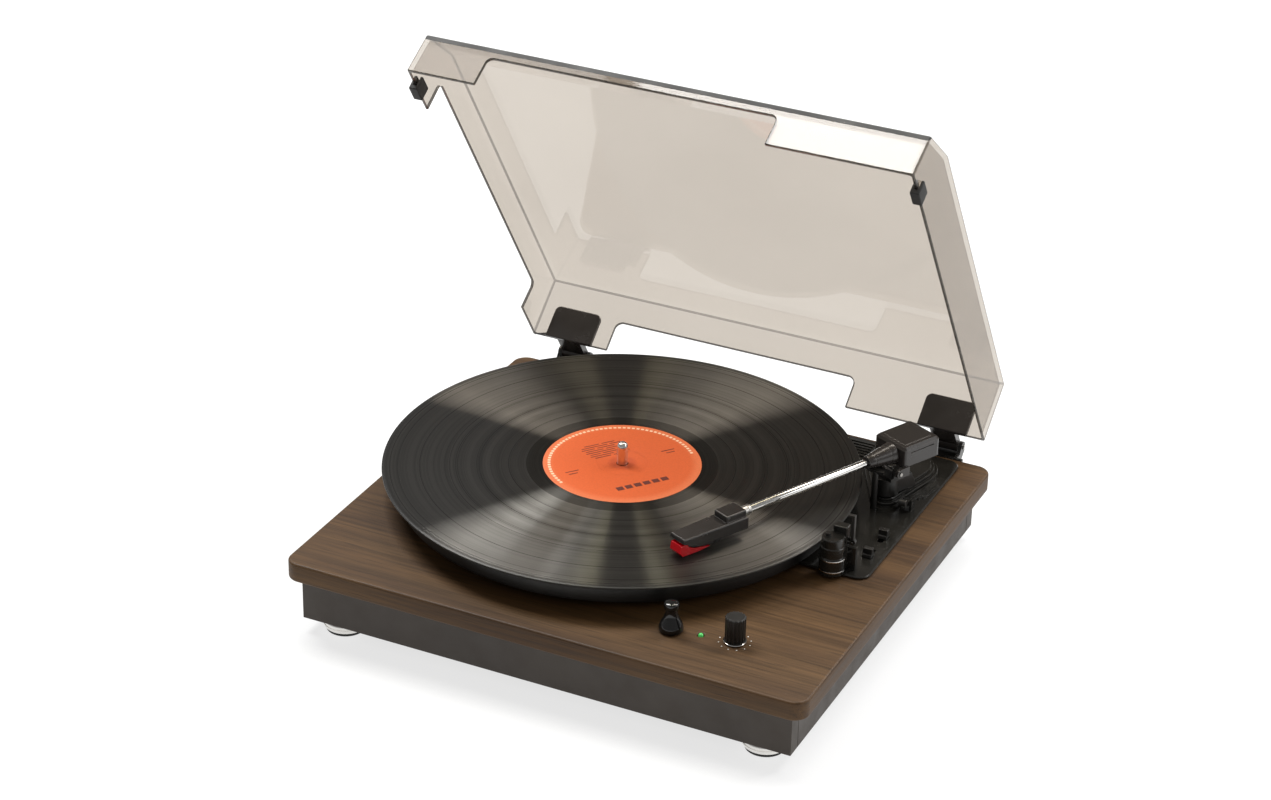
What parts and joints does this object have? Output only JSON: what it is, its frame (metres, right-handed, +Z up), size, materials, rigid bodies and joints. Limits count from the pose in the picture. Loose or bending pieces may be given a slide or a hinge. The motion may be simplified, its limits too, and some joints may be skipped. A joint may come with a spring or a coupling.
{
  "type": "turntable record player",
  "caption": "Belt-drive record player with a wooden plinth, a disc on the platter, a straight tonearm and a hinged clear cover held open.",
  "frame": {"origin": "middle of the bounding box of the whole player with its cover open, on the ground under the feet", "axes": "+Z up, +X to the right along the front, +Y towards the cover's hinges at the back"},
  "size_m": [0.3494, 0.3462, 0.3323],
  "materials": {
    "walnut": "dark walnut veneer, satin lacquer",
    "brown_paint": "fibreboard, smooth matte dark brown paint",
    "black_board": "thin black hardboard",
    "circuit": "green circuit board",
    "black_plastic": "satin black moulding",
    "black_gloss": "glossy black moulding",
    "white_plastic": "white socket",
    "red_plastic": "red moulding",
    "green_lens": "green lamp lens",
    "steel": "plain steel",
    "chrome": "polished",
    "bright_ring": "bright turned",
    "platter_metal": "black coated",
    "brass": "turned",
    "rubber": "matte",
    "felt": "black felt",
    "vinyl": "grooved black vinyl",
    "label": "printed orange paper",
    "tinted_clear": "clear smoke-tinted acrylic"
  },
  "bodies": {
    "plinth": {"top_board": "walnut", "base_front_panel": "brown_paint", "base_rear_panel": "brown_paint", "base_left_panel": "brown_paint", "base_right_panel": "brown_paint", "floor_panel": "black_board", "foot_front_left": "bright_ring", "foot_front_right": "bright_ring", "foot_rear_left": "bright_ring", "foot_rear_right": "bright_ring", "foot_pad_front_left": "rubber", "foot_pad_front_right": "rubber", "foot_pad_rear_left": "rubber", "foot_pad_rear_right": "rubber", "jack_plate": "black_plastic", "socket_left": "white_plastic", "socket_right": "red_plastic", "supply_inlet": "black_plastic", "circuit_board": "circuit", "mode_switch": "steel", "volume_control": "steel", "power_lamp": "green_lens", "mechanism_plate": "black_gloss", "spindle": "chrome", "drive_belt": "rubber", "motor": "steel", "arm_column": "black_plastic", "arm_rest": "black_plastic", "hinge_bracket_left": "black_plastic", "hinge_bracket_right": "black_plastic", "hinge_pin_left": "steel", "hinge_pin_right": "steel"},
    "platter": {"platter": "platter_metal", "slip_mat": "felt", "record_disc": "vinyl", "record_label_upper": "label", "record_label_lower": "label"},
    "pulley": {"motor_pulley": "brass"},
    "cover": {"dust_cover": "tinted_clear", "bumper_left": "rubber", "bumper_right": "rubber", "hinge_leaf_left": "black_plastic", "hinge_leaf_right": "black_plastic"},
    "arm_pivot": {"arm_yoke": "black_plastic", "arm_axle": "steel"},
    "arm": {"counterweight_housing": "black_plastic", "arm_sleeve": "black_gloss", "arm_tube": "chrome", "headshell_collar": "steel", "headshell": "black_plastic", "cartridge": "black_plastic", "stylus": "red_plastic"},
    "lift": {"lift_rest": "black_plastic"},
    "lever": {"cue_lever": "black_plastic"},
    "catch": {"arm_catch": "black_plastic"},
    "speed": {"speed_slider": "black_plastic"},
    "auto_stop": {"auto_stop_slider": "black_plastic"},
    "mode": {"mode_knob": "black_gloss"},
    "volume": {"volume_knob": "black_plastic"}
  },
  "joints": [
    {"name": "platter_spin", "type": "hinge", "parent": "plinth", "child": "platter", "pos_m": [-0.0237, -0.00104, 0.0545], "axis": [0, 0, 1], "continuous": true},
    {"name": "pulley_spin", "type": "hinge", "parent": "plinth", "child": "pulley", "pos_m": [0.0163, 0.09596, 0.0552], "axis": [0, 0, 1], "continuous": true},
    {"name": "cover_hinge", "type": "hinge", "parent": "plinth", "child": "cover", "pos_m": [0.003, 0.14906, 0.05305], "axis": [-1, 0, 0], "range_deg": [-56.4, 0]},
    {"name": "arm_swing", "type": "hinge", "parent": "plinth", "child": "arm_pivot", "pos_m": [0.1285, 0.06496, 0.0688], "axis": [0, 0, 1], "range_deg": [-22, 29.5]},
    {"name": "arm_lift", "type": "hinge", "parent": "arm_pivot", "child": "arm", "pos_m": [0.1285, 0.06496, 0.0746], "axis": [-0.9033, 0.4289, 0], "range_deg": [0, 10]},
    {"name": "lever_turn", "type": "hinge", "parent": "plinth", "child": "lever", "pos_m": [0.1445, 0.06066, 0.0558], "axis": [-1, 0, 0], "range_deg": [0, 40]},
    {"name": "lift_slide", "type": "slide", "parent": "plinth", "child": "lift", "axis": [0, 0, 1], "range_m": [0, 0.002]},
    {"name": "catch_turn", "type": "hinge", "parent": "plinth", "child": "catch", "pos_m": [0.142, -0.02374, 0.0702], "axis": [0, -1, 0], "range_deg": [0, 10]},
    {"name": "speed_slide", "type": "slide", "parent": "plinth", "child": "speed", "axis": [0, 1, 0], "range_m": [-0.004, 0.004]},
    {"name": "auto_stop_slide", "type": "slide", "parent": "plinth", "child": "auto_stop", "axis": [0, 1, 0], "range_m": [0, 0.006]},
    {"name": "mode_turn", "type": "hinge", "parent": "plinth", "child": "mode", "pos_m": [0.0736, -0.13474, 0.0493], "axis": [0, 0, 1], "range_deg": [-30, 30]},
    {"name": "volume_turn", "type": "hinge", "parent": "plinth", "child": "volume", "pos_m": [0.112, -0.12874, 0.0493], "axis": [0, 0, 1], "range_deg": [-150, 150]}
  ],
  "couplings": [
    {"joint": "pulley_spin", "follows": "platter_spin", "ratio": 16},
    {"joint": "lever_turn", "follows": "arm_lift", "ratio": 4},
    {"joint": "lift_slide", "follows": "arm_lift", "m_per_rad": 0.0109}
  ]
}
